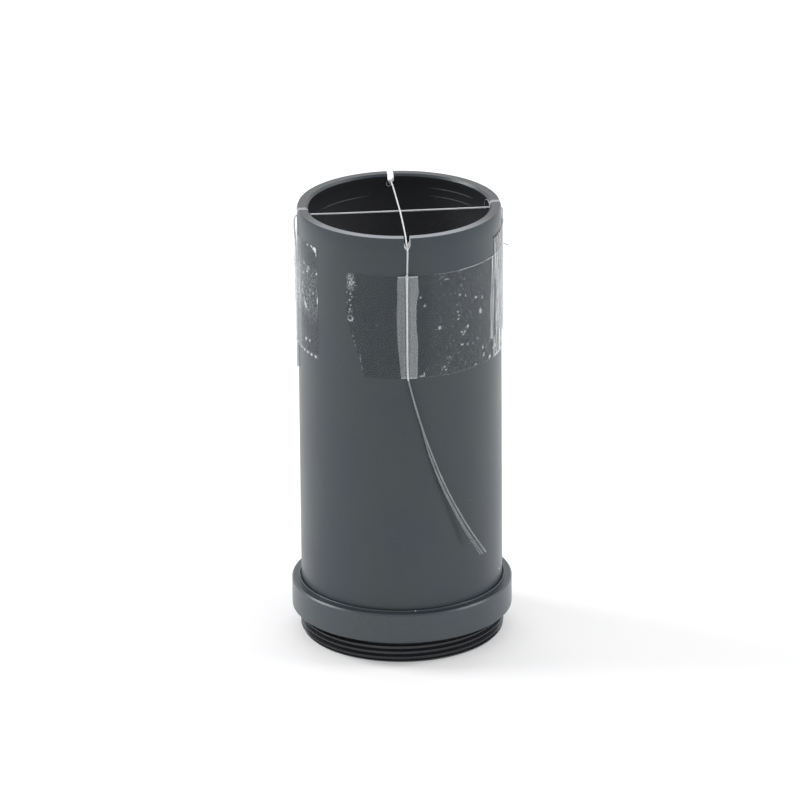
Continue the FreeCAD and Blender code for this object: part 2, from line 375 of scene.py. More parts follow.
# %% Anodised metal
def nick_mask(tree, nicks):
    """Small chips through the dye, each given as (bearing, radius, height, size)."""
    mask = None
    for bearing, radius, height, size in nicks:
        apart = add(tree, "ShaderNodeVectorMath", operation="DISTANCE")
        tree.links.new(stretched(tree), apart.inputs[0])
        apart.inputs[1].default_value = wall_point(bearing, radius * MM, height * MM)
        chip = arithmetic(tree, "LESS_THAN", apart.outputs["Value"], size * MM)
        mask = chip if mask is None else arithmetic(tree, "MAXIMUM", mask, chip)
    return mask


def anodised(name, colour, tint, roughness, ring_depth, nicks, specular=0.5):
    material, tree, shader = new_material(name)
    tone = use_group(tree, tone_group, Colour=colour, Tint=tint, Mottle=0.5, Roughness=roughness)
    rings = use_group(tree, turning_group, Rings_per_metre=5200.0, Depth=ring_depth)
    dust = use_group(tree, speck_group, Scale=420.0, Size=0.045, Share=0.12)
    dusty = blend_colour(tree, dust.outputs["Mask"], tone.outputs["Colour"],
                         (0.16, 0.17, 0.18, 1))
    if nicks:
        dusty = blend_colour(tree, nick_mask(tree, nicks), dusty, (0.75, 0.77, 0.80, 1))
    set_inputs(tree, shader, Base_Color=dusty, Roughness=tone.outputs["Roughness"],
               Specular_IOR_Level=specular)
    grain = arithmetic(tree, "MULTIPLY", tone.outputs["Grain"], 0.35)
    bump(tree, shader, arithmetic(tree, "ADD", rings.outputs["Height"], grain), 0.01 * MM)
    return material


tube_finish = anodised("anodised_tube", (0.041, 0.055, 0.060, 1), (0.040, 0.051, 0.065, 1),
                       0.34, 0.8, [(75.0, 18.0, 12.4, 0.20)])
ring_finish = anodised("anodised_ring", (0.068, 0.085, 0.090, 1), (0.067, 0.080, 0.096, 1),
                       0.30, 1.0, [(7.3, 18.4, 10.1, 0.10)], 0.42)
# The ring's top face takes a darker copy of the ring's finish: painted shade.
shoulder_shaded_finish = anodised("anodised_shoulder_painted_shade", (0.036, 0.048, 0.053, 1),
                           (0.035, 0.044, 0.058, 1), 0.32, 1.0, [], 0.42)
# The thread takes a darker copy still: painted shade near the shadowed floor.
thread_shaded_finish = anodised("anodised_thread_painted_shade", (0.022, 0.025, 0.027, 1),
                         (0.022, 0.023, 0.030, 1), 0.24, 0.4, [], 0.6)

# %% Rim with a painted front sheen
def make_rim_sheen_finish():
    """The rim's flat top. Its front half is painted paler: a painted highlight for the light that
    falls on the front.
    """
    material, tree, shader = new_material("rim_painted_front_sheen")
    tone = use_group(tree, tone_group, Colour=(0.022, 0.027, 0.032, 1),
                     Tint=(0.022, 0.025, 0.036, 1), Mottle=0.9, Roughness=0.26)
    place = axes(tree)
    wander = noise_value(tree, stretched(tree), 160.0, 3.0)
    reach = arithmetic(tree, "ADD", place["Y"], arithmetic(tree, "MULTIPLY", wander,
                                                                   6.0 * MM))
    # The paler front half is a painted highlight.
    front_sheen = ramp(tree, reach, -3.0 * MM, -12.0 * MM)
    with_painted_highlight = blend_colour(tree, front_sheen, tone.outputs["Colour"], (0.215, 0.235, 0.265, 1))
    set_inputs(tree, shader, Base_Color=with_painted_highlight, Roughness=tone.outputs["Roughness"])
    bump(tree, shader, tone.outputs["Grain"], 0.006 * MM)
    return material


rim_sheen_finish = make_rim_sheen_finish()

# %% Blackened bore
def make_bore_finish():
    """Flat black round the mouth, painted paler further down as painted light for the brighter
    depths of the bore. Two weak bright rings below the rim are lathe marks, painted as glints where
    their crests catch the light."""
    material, tree, shader = new_material("black_bore")
    tone = use_group(tree, tone_group, Colour=(0.088, 0.091, 0.096, 1),
                     Tint=(0.074, 0.075, 0.082, 1), Mottle=1.2, Roughness=0.55)
    place = axes(tree)
    # Paler further down the bore: painted light.
    mouth = ramp(tree, place["Z"], RIM_Z - 11 * MM, RIM_Z - 1.5 * MM)
    black = blend_colour(tree, mouth, tone.outputs["Colour"], (0.017, 0.018, 0.020, 1))
    aside = arithmetic(tree, "ABSOLUTE", place["X"])
    both_sides = arithmetic(tree, "MULTIPLY", ramp(tree, aside, 5 * MM, 8 * MM),
                            ramp(tree, aside, 14 * MM, 12.5 * MM))
    right_side = arithmetic(tree, "MULTIPLY", both_sides,
                            arithmetic(tree, "GREATER_THAN", place["X"], 0.0))
    marks = None
    # Two rings at the sides are lathe marks painted as glints: painted highlights.
    for depth, where in ((2.3 * MM, right_side), (3.8 * MM, both_sides)):
        offset = arithmetic(tree, "ABSOLUTE", arithmetic(
            tree, "SUBTRACT", place["Z"], RIM_Z - depth))
        mark = arithmetic(tree, "MULTIPLY", arithmetic(tree, "LESS_THAN", offset, 0.08 * MM),
                          where)
        marks = mark if marks is None else arithmetic(tree, "ADD", marks, mark)
    patch = ramp(tree, noise_value(tree, stretched(tree, (1.0, 1.0, 0.2)), 90.0), 0.40, 0.5)
    ring_glints = arithmetic(tree, "MULTIPLY", marks, patch)
    specks = use_group(tree, speck_group, Scale=1500.0, Size=0.16, Share=0.05)
    with_painted_highlight = blend_colour(tree, ring_glints, black, (0.17, 0.17, 0.18, 1))
    speckled = blend_colour(tree, specks.outputs["Mask"], with_painted_highlight, (0.09, 0.09, 0.095, 1))
    set_inputs(tree, shader, Base_Color=speckled, Roughness=tone.outputs["Roughness"],
               Specular_IOR_Level=0.25)
    rings = use_group(tree, turning_group, Rings_per_metre=1500.0, Depth=1.0)
    bump(tree, shader, rings.outputs["Height"], 0.03 * MM)
    return material


bore_finish = make_bore_finish()

# %% Bare sawn metal
def make_sawn_finish():
    """Bright aluminium with the coarse scratches of a saw or a file."""
    material, tree, shader = new_material("sawn_metal")
    scratches = noise_value(tree, stretched(tree, (900.0, 900.0, 9000.0)), 1.0, 2.0)
    colour = blend_colour(tree, ramp(tree, scratches, 0.35, 0.65), (0.60, 0.61, 0.63, 1),
                          (0.84, 0.84, 0.86, 1))
    set_inputs(tree, shader, Base_Color=colour, Metallic=0.2, Roughness=0.42)
    bump(tree, shader, scratches, 0.02 * MM)
    return material


sawn_finish = make_sawn_finish()
chip_finish, chip_tree, chip_shader = new_material("chipped_edge")
set_inputs(chip_tree, chip_shader, Base_Color=(0.93, 0.94, 0.95, 1), Roughness=0.3)

# %% Clear line
def make_line_finish(name, dull, bright):
    """Clear monofilament: a milky core under a wet-looking skin."""
    material, tree, shader = new_material(name)
    drift = noise_value(tree, stretched(tree), 400.0, 2.0)
    colour = blend_colour(tree, ramp(tree, drift, 0.3, 0.7), dull, bright)
    set_inputs(tree, shader, Base_Color=colour, Roughness=0.2, Transmission_Weight=0.25, IOR=1.53)
    return material


# The crossed lines take a pale copy of the line's colour as painted light, and the hanging ends a
# dark copy as painted shade.
line_finish = make_line_finish("clear_line", (0.86, 0.89, 0.90, 1), (0.97, 0.98, 0.98, 1))
shaded_tail_line_finish = make_line_finish("free_line", (0.26, 0.29, 0.30, 1), (0.40, 0.43, 0.44, 1))

# %% Clear tape
def make_tape_finish():
    """Clear film. Its own attribute is 0 where the glue has wetted the wall. It rises to 1 where the
    film looks pale, over caught air and at painted highlights, and falls to -1 where edges and folds
    get painted shade."""
    material, tree, shader = new_material("clear_tape")
    haze_and_painted_light = add(tree, "ShaderNodeAttribute", attribute_name="haze_and_painted_light")
    colour = blend_colour(tree, ramp(tree, haze_and_painted_light.outputs["Fac"], 0.0, 0.03),
                          (0.010, 0.012, 0.013, 1), (0.86, 0.90, 0.92, 1))
    grain = noise_value(tree, stretched(tree, (1.0, 1.0, 0.35)), 3000.0, 2.0)
    uneven = arithmetic(tree, "MULTIPLY_ADD", arithmetic(tree, "SUBTRACT", grain, 0.5), 0.5, 1.0)
    amount = arithmetic(tree, "ABSOLUTE", haze_and_painted_light.outputs["Fac"])
    seen = arithmetic(tree, "MULTIPLY", amount, uneven, clamp=True)
    set_inputs(tree, shader, Base_Color=colour, Alpha=arithmetic(tree, "MAXIMUM", seen, 0.07),
               Roughness=0.14, IOR=1.5)
    ripple = noise_value(tree, stretched(tree, (1.0, 1.0, 0.4)), 420.0, 3.0)
    bump(tree, shader, ripple, 0.02 * MM)
    return material


tape_finish = make_tape_finish()
print("materials", [material.name for material in bpy.data.materials])

# %% [markdown]
# ## The free ends of line
# Three ends hang from under the front tape. Springy monofilament leaves in a straight line and
# keeps a little of the curl that it had on its spool.

# %% Line helper
LINE_DIA = 0.3 * MM


def line_curve(name, route, finish):
    """A round line along a smooth spline with the given control points."""
    curve = bpy.data.curves.new(name, "CURVE")
    curve.dimensions = "3D"
    spline = curve.splines.new("NURBS")
    spline.points.add(len(route) - 1)
    for point, place in zip(spline.points, route):
        point.co = (*place, 1)
    spline.order_u = 3
    spline.use_endpoint_u = True
    spline.resolution_u = 12
    curve.bevel_depth = LINE_DIA / 2
    curve.bevel_resolution = 3
    curve.use_fill_caps = True
    curve.materials.append(finish)
    piece = bpy.data.objects.new(name, curve)
    bpy.context.scene.collection.objects.link(piece)
    return piece


# %% Hanging ends
LINE_ON_WALL = TUBE_R + 0.17 * MM
TAIL_EXIT_Z = 54.0 * MM
STRAND_PITCH = 0.33 * MM
TAIL_BEARING = 4.29
TAIL_STRAIGHT = 3.08
TAIL_ROUTES = {
    "tail_first": [
        (8.71, 0.18, 5.96), (12.03, 0.44, 9.71), (14.60, 0.64, 13.49), (18.44, 0.86, 17.35),
        (22.85, 1.09, 21.28), (28.84, 1.52, 25.70), (34.74, 2.03, 30.02), (41.42, 2.90, 34.19)],
    "tail_second": [
        (8.56, 0.51, 5.83), (11.83, 0.76, 9.58), (14.49, 0.97, 13.35), (18.36, 1.20, 17.19),
        (22.77, 1.44, 21.10), (28.87, 1.88, 25.49), (34.98, 2.36, 29.78), (41.83, 3.20, 33.92)],
    "tail_third": [
        (8.62, 0.84, 5.71), (11.70, 1.11, 9.45), (15.45, 1.27, 13.27), (19.60, 1.41, 17.18),
        (24.25, 1.63, 21.14), (30.38, 2.12, 25.56), (36.67, 2.78, 29.87), (42.95, 3.62, 33.68)]}
TAIL_HEADING = Vector((0.2277, 0.0171, -0.9736))
for layer, (node, route) in enumerate(TAIL_ROUTES.items()):
    leaves = wall_point(TAIL_BEARING, LINE_ON_WALL + layer * STRAND_PITCH, TAIL_EXIT_Z)
    points = [leaves, leaves + TAIL_HEADING * TAIL_STRAIGHT * MM]
    points += [wall_point(bearing, LINE_ON_WALL + out * MM, TAIL_EXIT_Z - drop * MM)
               for bearing, out, drop in route]
    # The hanging ends take the dark copy of the line: painted shade.
    strand = line_curve("hanging_" + node, points, shaded_tail_line_finish)
    finish_piece(strand, "clear_line", node)

# %% [markdown]
# ## The crossed lines
# The lower line runs left to right and the upper one front to back, over it. Each lies in the
# roots of its two notches, lifts a little as it turns over the edge, because it is stiff, and
# goes down the wall under its tape.

# %% Crossed lines
LOWER_ROUTE = [
    (-18.14, -2.04, 50.5), (-18.08, -2.03, 59.1), (-18.04, -2.03, 67.1), (-18.18, -2.04, 74.21),
    (-18.5, -2.08, 77.01), (-18.3, -2.05, 79.11), (-16.0, -1.83, 78.81), (16.15, 1.31, 78.81),
    (18.24, 1.52, 78.95), (18.21, 1.52, 77.31), (18.11, 1.5, 74.51), (18.11, 1.5, 56.2)]
UPPER_ROUTE = [
    (-1.61, 18.1, 55.6), (-1.61, 18.1, 74.01), (-1.64, 18.37, 76.71), (-1.64, 18.37, 78.28),
    (-1.27, 15.95, 78.63), (-0.04, 1.3, 79.14), (0.25, -1.78, 79.14), (1.05, -11.15, 78.57),
    (1.27, -15.93, 78.32), (1.434, -18.36, 78.3), (1.428, -18.29, 76.81),
    (1.348, -18.12, 74.21), (1.238, -18.128, 64.05), (1.219, -18.129, 54.6),
    (1.359, -18.119, 54.0)]
FOLD_ROUTE = [
    (1.384, -18.448, 54.0), (1.243, -18.458, 54.6), (1.25, -18.458, 64.0),
    (1.24, -18.46, 71.6), (1.14, -18.47, 73.35), (1.42, -18.5, 73.4),
    (1.3, -18.75, 71.6), (1.28, -18.787, 64.0), (1.268, -18.787, 54.6),
    (1.409, -18.777, 54.0)]
for name, node, route in (("cross_line_lower", "line_left_right", LOWER_ROUTE),
                          ("cross_line_upper", "line_front_back", UPPER_ROUTE),
                          ("folded_line", "line_hairpin", FOLD_ROUTE)):
    line = line_curve(name, [Vector(place) * MM for place in route], line_finish)
    finish_piece(line, "clear_line", node)

# %% [markdown]
# ## The tube
# A turned tube is a cylinder whose two end faces are inset by the wall and bridged into a bore.
# Its inner edge has a chamfer and its outer one a steeper bevel. Level cuts below the notches
# keep the long wall faces apart from the ones that the saw opens.

# %% Turned tube
OUTER_BREAK = 0.20 * MM
OUTER_DROP = 0.26 * MM
INNER_CHAMFER = 0.38 * MM
LEVEL_CUTS = (3.0, 12.0, 40.0)
tube_bottom = tube_low.z
tube = turned_blank("sight_tube", TUBE_R, tube_bottom, RIM_Z)
start_edit(tube, "FACE")
pick(tube, "faces", lambda face: len(face.verts) > 4)
bpy.ops.mesh.inset(thickness=WALL, use_individual=True)
bpy.ops.mesh.bridge_edge_loops()
bpy.ops.mesh.select_mode(type="EDGE")
chamfer_ring(tube, TUBE_R, RIM_Z, OUTER_BREAK)
pick(tube, "edges", ring_edges(TUBE_R, RIM_Z - OUTER_BREAK))
bpy.ops.transform.translate(value=(0, 0, -OUTER_DROP))
chamfer_ring(tube, BORE_R, RIM_Z, INNER_CHAMFER)
for drop in LEVEL_CUTS:
    bpy.ops.mesh.select_all(action="SELECT")
    bpy.ops.mesh.bisect(plane_co=(0, 0, RIM_Z - drop * MM), plane_no=(0, 0, 1))
end_edit()
for material in (tube_finish, bore_finish, sawn_finish, rim_sheen_finish, chip_finish):
    tube.data.materials.append(material)
for face in tube.data.polygons:
    if face.center.xy.length < BORE_R + 0.001 * MM:
        face.material_index = 1
    elif face.center.z > RIM_Z - 0.01 * MM:
        face.material_index = 3
print("tube faces", len(tube.data.polygons))

# %% [markdown]
# ## The notches
# Two straight saw cuts right across the rim make the four notches, so the tool is one long
# prism for each pair: a box whose bottom face is pushed down and pinched into a 60 degree V,
# in which a round line centres itself. The cut faces keep the tool's bare metal.

# %% Saw cuts
NOTCH_WIDTH = 1.1 * MM
NOTCH_POINT = 60.0
CHIP_WIDTH = 0.17 * MM


def saw_tool(name, depth, turn_degrees, offset):
    """The prism of one cut, its point at a depth below the rim."""
    point_height = NOTCH_WIDTH / 2 / math.tan(math.radians(NOTCH_POINT / 2))
    shoulder = RIM_Z - depth + point_height
    top = RIM_Z + 1.0 * MM
    bpy.ops.mesh.primitive_cube_add(size=1, location=(0, offset, (shoulder + top) / 2))
    tool = new_piece(name)
    tool.scale = (2.4 * TUBE_R, NOTCH_WIDTH, top - shoulder)
    bpy.ops.object.transform_apply(location=True, rotation=True, scale=True)
    start_edit(tool, "FACE")
    pick(tool, "faces", cap_at(shoulder))
    extrude_up(-point_height)
    bpy.ops.transform.resize(value=(1, 0, 1), center_override=(0, offset, 0))
    bpy.ops.mesh.select_all(action="SELECT")
    bpy.ops.mesh.remove_doubles(threshold=0.001 * MM)
    bpy.ops.mesh.normals_make_consistent(inside=False)
    end_edit()
    tool.rotation_euler.z = math.radians(turn_degrees)
    bpy.ops.object.transform_apply(location=False, rotation=True, scale=False)
    tool.data.materials.append(sawn_finish)
    return tool


combine(tube, saw_tool("side_cut", 1.5 * MM, 5.56, -0.26 * MM), "DIFFERENCE")
combine(tube, saw_tool("front_cut", 2.1 * MM, 94.78, 0.10 * MM), "DIFFERENCE")


def chipped_edge(edge):
    """The edges between a sawn face and the outer wall, where the saw chipped the dye."""
    kinds = sorted(face.material_index for face in edge.link_faces)
    low_front = all(v.co.xy.length > TUBE_R - 0.01 * MM and v.co.y < -17 * MM
                    and v.co.z < RIM_Z - 1.1 * MM for v in edge.verts)
    return kinds == [0, 2] and low_front


start_edit(tube, "EDGE")
pick(tube, "edges", chipped_edge)
bpy.ops.mesh.bevel(offset=CHIP_WIDTH, segments=1, affect="EDGES", material=4)
end_edit()
smooth(tube)

# %% [markdown]
# ## Burrs
# Two thin curls hang at the notches. Each is a fine curve that becomes a mesh and is joined to the
# tube, so that the tube stays one piece.

# %% Burr curls
BURR_RADIUS = 0.035 * MM
BURRS = [[(16.05, 1.15, 79.2), (15.75, 2.2, 79.9), (15.2, 4.0, 79.4), (15.0, 4.7, 78.1),
          (15.2, 4.3, 77.4)],
         [(-2.10, 16.0, 78.9), (-2.3, 15.8, 78.2), (-1.9, 15.5, 77.8), (-1.5, 15.6, 78.0)]]
for number, route in enumerate(BURRS):
    burr = line_curve(f"burr_{number}", [Vector(place) * MM for place in route], sawn_finish)
    burr.data.bevel_depth = BURR_RADIUS
    only(burr)
    bpy.ops.object.convert(target="MESH")
    tube.select_set(True)
    bpy.context.view_layer.objects.active = tube
    bpy.ops.object.join()
finish_piece(tube, "anodised_tube", "tube")

# %% [markdown]
# ## The mounting ring
# The flange is a cylinder. Its top face is inset and raised into the small lip round the tube,
# and its bottom face is inset and pushed down into the relief above the thread. A turned tool
# cuts the bore and the socket for the tube last.

# %% Ring body
FLANGE_LOW = 4.4 * MM
FLANGE_HIGH = 9.87 * MM
TOP_BREAK = 0.28 * MM
LOW_BREAK = 0.3 * MM
RELIEF_R = 17.5 * MM
THREAD_TOP = 3.4 * MM
LIP_R = 18.43 * MM
GAP_R = 18.17 * MM
GAP_DEPTH = 0.6 * MM
ring = turned_blank("mounting_ring", FLANGE_R, FLANGE_LOW, FLANGE_HIGH)
start_edit(ring, "EDGE")
chamfer_ring(ring, FLANGE_R, FLANGE_HIGH, TOP_BREAK)
chamfer_ring(ring, FLANGE_R, FLANGE_LOW, LOW_BREAK)
bpy.ops.mesh.select_mode(type="FACE")
pick(ring, "faces", cap_at(FLANGE_HIGH))
lip_top = ring_high.z + 0.05 * MM
bpy.ops.mesh.inset(thickness=FLANGE_R - TOP_BREAK - LIP_R)
extrude_up(lip_top - FLANGE_HIGH)
bpy.ops.mesh.inset(thickness=LIP_R - GAP_R)
extrude_up(-GAP_DEPTH)
bpy.ops.mesh.select_mode(type="EDGE")
for radius in (LIP_R, GAP_R):
    pick(ring, "edges", ring_edges(radius, lip_top))
    bpy.ops.mesh.bevel(offset=0.12 * MM, segments=3, affect="EDGES")
bpy.ops.mesh.select_mode(type="FACE")
pick(ring, "faces", cap_at(FLANGE_LOW))
bpy.ops.mesh.inset(thickness=FLANGE_R - LOW_BREAK - RELIEF_R)
extrude_up(THREAD_TOP - 0.4 * MM - FLANGE_LOW)
end_edit()
print("ring faces", len(ring.data.polygons))

# %% [markdown]
# ## The thread
# A screw thread is one profile wound round and up by its pitch. The Screw modifier winds it,
# the ends are closed, and a core joins the turns. A plain cylinder with a broken lower edge
# then trims the whole, as the blank does that a real thread is cut in: this gives the true
# run-out at the lead-in and at the relief.

# %% Wound thread
PITCH = 1.0 * MM
CREST_R = 18.2 * MM
ROOT_R = 17.58 * MM
TURNS = 6
LEAD_IN = 0.6 * MM
OVERRUN = 1.5 * MM


def wound_ridge():
    """The ridge of a right-hand thread, from below the base to above the relief."""
    bpy.ops.mesh.primitive_plane_add(size=1, location=(0, 0, 0))
    ridge = new_piece("thread_ridge")
    buried = 0.25 * MM
    corners = [(ROOT_R - buried, -0.47 * PITCH), (ROOT_R - buried, 0.47 * PITCH),
               (CREST_R, 0.06 * PITCH), (CREST_R, -0.06 * PITCH)]
    ordered = [ridge.data.vertices[i] for i in ridge.data.polygons[0].vertices]
    for vertex, (radius, height) in zip(ordered, corners):
        vertex.co = (radius, 0, height - 1.6 * PITCH)
    start_edit(ridge, "FACE")
    bpy.ops.mesh.select_all(action="SELECT")
    bpy.ops.mesh.delete(type="ONLY_FACE")
    end_edit()
    put_modifier(ridge, "SCREW", axis="Z", angle=2 * math.pi, screw_offset=PITCH,
                 iterations=TURNS, steps=128, render_steps=128, use_merge_vertices=False)
    start_edit(ridge, "EDGE")
    bpy.ops.mesh.select_all(action="SELECT")
    bpy.ops.mesh.remove_doubles(threshold=0.0005 * MM)
    bpy.ops.mesh.select_all(action="DESELECT")
    bpy.ops.mesh.select_non_manifold()
    bpy.ops.mesh.edge_face_add()
    bpy.ops.mesh.select_all(action="SELECT")
    bpy.ops.mesh.normals_make_consistent(inside=False)
    end_edit()
    return ridge


thread = turned_blank("thread", ROOT_R, -OVERRUN, THREAD_TOP + OVERRUN)
combine(thread, wound_ridge(), "UNION")
blank = turned_blank("thread_blank", CREST_R, 0, THREAD_TOP)
start_edit(blank, "EDGE")
chamfer_ring(blank, CREST_R, 0, LEAD_IN)
end_edit()
combine(thread, blank, "INTERSECT")
print("thread faces", len(thread.data.polygons))

# %% Ring joined
for material in (ring_finish, thread_shaded_finish, bore_finish, shoulder_shaded_finish):
    ring.data.materials.append(material)
thread.data.materials.append(thread_shaded_finish)
combine(ring, thread, "UNION")
bore_tool = turned_blank("bore_tool", BORE_R, -5 * MM, tube_bottom)
start_edit(bore_tool, "FACE")
pick(bore_tool, "faces", cap_at(tube_bottom))
extrude_up(0)
BOND = 0.03 * MM
socket_share = (TUBE_R + BOND) / BORE_R
bpy.ops.transform.resize(value=(socket_share, socket_share, 1), center_override=(0, 0, 0))
extrude_up(10 * MM)
end_edit()
bore_tool.data.materials.append(bore_finish)
combine(ring, bore_tool, "DIFFERENCE")
for face in ring.data.polygons:
    if face.center.z < FLANGE_LOW - 0.01 * MM and face.center.xy.length > BORE_R + 0.1 * MM:
        face.material_index = 1
    elif face.normal.z > 0.95 and face.center.z > FLANGE_HIGH - 0.1 * MM:
        face.material_index = 3
smooth(ring, degrees=25)
finish_piece(ring, "anodised_ring", "threaded_ring")

# %% [markdown]
# ## Clear tape
# A strip starts as a flat grid, which is wrapped on the wall: one direction is the bearing, the
# other the height. Each vertex gets its radius from what lies under the film there, and a value
# that is pale where air is caught and at painted highlights, and dark where edges and folds get
# painted shade. A torn end follows the dispenser's saw teeth.

# %% Film helper
FILM = 0.05 * MM
SPOT_SPREAD = 1.2
FILM_GAP = 0.03 * MM
DEGREE = math.radians(1) * TUBE_R / MM


def between(value, low, high):
    """0 at the low level, 1 at the high one, and smooth between."""
    share = min(max((value - low) / (high - low), 0.0), 1.0)
    return share * share * (3 - 2 * share)


def along_table(value, table):
    """Reads a value off a short table of (place, value) pairs, with straight lines between."""
    for (place, level), (next_place, next_level) in zip(table, table[1:]):
        if value <= next_place:
            share = min(max((value - place) / (next_place - place), 0.0), 1.0)
            return level + share * (next_level - level)
    return table[-1][1]


def inside(value, low, high, soft):
    """1 between two limits and 0 outside them, with soft ends."""
    return between(value, low - soft, low + soft) * (1 - between(value, high - soft, high + soft))


def saw_tooth(value, pitch):
    """The teeth of a tape cutter, from 0 to 1."""
    share = (value / pitch) % 1.0
    return 1 - abs(2 * share - 1)


def streak(bearing, z, seed, fine=1.1, tall=0.10):
    """Upright streaks, about -1 to 1."""
    return noise.noise(Vector((bearing * fine, z * tall, seed)))


def film_strip(name, bearings, heights, columns, rows, shape):
    """A wrapped grid. shape(bearing, z) gives the bearing, z, stand-off from the wall and the value
    that paints pale air, highlights and shade at a vertex, in degrees and millimetres."""
    bpy.ops.mesh.primitive_grid_add(x_subdivisions=columns, y_subdivisions=rows, size=2)
    strip = new_piece(name)
    layer = strip.data.attributes.new("haze_and_painted_light", "FLOAT", "POINT")
    values = []
    for vertex in strip.data.vertices:
        across = (vertex.co.x + 1) / 2
        up = (vertex.co.y + 1) / 2
        bearing = bearings[0] + across * (bearings[1] - bearings[0])
        z = heights[0] + up * (heights[1] - heights[0])
        bearing, z, stand_off, haze_and_painted_light = shape(bearing, z)
        vertex.co = wall_point(bearing, TUBE_R + FILM_GAP + stand_off * MM, z * MM)
        values.append(min(max(haze_and_painted_light, -1.0), 1.0))
    layer.data.foreach_set("value", values)
    strip.data.materials.append(tape_finish)
    put_modifier(strip, "SOLIDIFY", thickness=FILM, offset=1)
    smooth(strip, 60)
    return strip


def spots_haze(bearing, z, spots):
    """The haze of a list of (bearing, z, half width, half height, strength) spots."""
    haze_and_painted_light = 0.0
    for spot_bearing, spot_z, wide, high, strength in spots:
        reach = math.hypot((bearing - spot_bearing) * DEGREE / wide, (z - spot_z) / high)
        reach /= SPOT_SPREAD
        if reach < 1.0:
            haze_and_painted_light = max(haze_and_painted_light, strength * between(1.0 - reach, 0.0, 0.5))
    return haze_and_painted_light


# %% [markdown]
# ## The front tape
# The long strip is torn at its left end, stands like a tent over the stack of line, sticks flat
# on the right of it with a scatter of small bubbles, steps up over the right-hand strip and
# comes loose there. What the eye sees of clear tape is mostly air: the tent and the bubbles look
# pale. A bright line along the top edge is a painted highlight, and the edges of the loose end,
# its folds and a band beside the step get painted shade. The rest stays nearly invisible.

# %% Front tape marks
def spots_from(rows):
    """Spots as (bearing, z, half width, half height, strength), the last three in hundredths."""
    return [(bearing, z, wide / 100, high / 100, strength / 100)
            for bearing, z, wide, high, strength in rows]


FRONT_LOW, FRONT_HIGH = 54.05, 73.05
FRONT_LEFT, FRONT_RIGHT = -31.2, 98.0
TORN_EDGE = [(54.05, -20.4), (56.8, -23.4), (60.7, -27.2), (64.2, -31.0), (73.05, -31.2)]
TENT_LEFT = [(54.05, 0.65), (56.6, 0.1), (58.3, -0.6), (59.5, -1.1), (61.5, -1.4), (65.0, -1.55),
             (71.0, -1.2), (73.05, -0.8)]
TENT_RIGHT = [(54.05, 9.45), (58.4, 9.8), (60.5, 9.9), (62.0, 9.6), (63.3, 9.0), (64.8, 8.8),
              (67.5, 9.0), (69.2, 9.6), (70.2, 10.65), (71.2, 10.1), (73.05, 10.0)]
STEP_LEFT = [(54.05, 64.6), (57.6, 64.4), (57.9, 60.9), (62.0, 61.6), (66.0, 62.2),
             (70.0, 63.4), (73.05, 63.6)]
TORN_SPOTS = spots_from([
    (-26.4, 71.4, 16, 20, 60), (-28.4, 69.2, 16, 18, 50), (-27.3, 68.7, 14, 16, 45),
    (-28.7, 68.0, 14, 20, 55), (-28.1, 67.1, 14, 18, 60), (-28.8, 66.3, 16, 18, 65),
    (-29.3, 65.8, 13, 14, 50), (-27.6, 65.9, 12, 12, 40), (-30.7, 67.4, 10, 14, 30),
    (-30.5, 69.4, 12, 14, 35), (-24.6, 70.9, 10, 12, 30), (-27.0, 61.4, 20, 12, 28),
    (-26.6, 60.4, 16, 14, 30), (-25.8, 59.7, 12, 14, 25), (-12.7, 63.8, 20, 10, 20),
    (-22.6, 57.4, 9, 60, 22), (-21.8, 55.6, 9, 60, 20)])
BUBBLES = spots_from([
    (38.8, 71.1, 18, 20, 40), (36.7, 70.1, 16, 24, 34), (35.5, 68.4, 22, 28, 50),
    (39.7, 68.0, 16, 26, 46), (34.4, 69.4, 12, 14, 30), (38.0, 69.3, 12, 12, 25),
    (47.6, 67.0, 32, 26, 62), (53.1, 66.5, 24, 34, 46), (51.4, 64.1, 34, 55, 85),
    (13.9, 67.4, 24, 26, 42), (11.6, 69.0, 18, 22, 38), (22.6, 63.0, 30, 34, 72),
    (41.1, 62.1, 22, 34, 74), (36.9, 61.4, 26, 18, 55), (39.0, 61.3, 18, 34, 62),
    (38.0, 60.9, 22, 16, 60), (37.2, 59.0, 34, 18, 62), (35.9, 59.2, 14, 14, 40),
    (41.0, 58.8, 20, 30, 40), (45.0, 58.6, 14, 30, 30), (49.1, 59.2, 22, 26, 34),
    (53.6, 57.1, 20, 42, 66), (54.4, 55.6, 30, 36, 62), (60.9, 54.6, 34, 36, 85),
    (46.9, 54.5, 30, 16, 55), (25.4, 55.6, 18, 24, 52), (26.3, 55.0, 22, 16, 60),
    (28.8, 57.2, 18, 22, 34), (28.0, 56.2, 12, 12, 40), (24.0, 55.2, 12, 30, 30),
    (34.2, 65.3, 18, 18, 50), (34.9, 64.6, 20, 16, 60), (34.5, 63.9, 22, 18, 70),
    (33.6, 66.6, 15, 16, 45), (45.6, 57.0, 10, 20, 26), (57.6, 56.8, 14, 20, 34),
    (31.0, 67.0, 10, 12, 22), (19.0, 66.0, 10, 12, 20), (29.6, 61.2, 10, 12, 22),
    (43.5, 64.6, 10, 14, 24), (12.3, 54.35, 50, 14, 80), (13.4, 54.7, 12, 34, 75),
    (24.4, 72.3, 30, 7, 50), (26.6, 71.95, 42, 8, 70), (28.0, 71.75, 22, 7, 55)])
print("bubbles and specks", len(BUBBLES) + len(TORN_SPOTS))

# %% Front tape
LINE_BEARING = 4.46
TENT_LIFT = 0.38


def tent_rise(bearing, feet, top_rise):
    """The stand-off of a film stretched over a line: straight flanks and a flat top."""
    left_foot, left_top, right_top, right_foot = (LINE_BEARING + foot for foot in feet)
    if bearing < left_top:
        return top_rise * min(max((bearing - left_foot) / (left_top - left_foot), 0.0), 1.0)
    return top_rise * min(max((right_foot - bearing) / (right_foot - right_top), 0.0), 1.0)


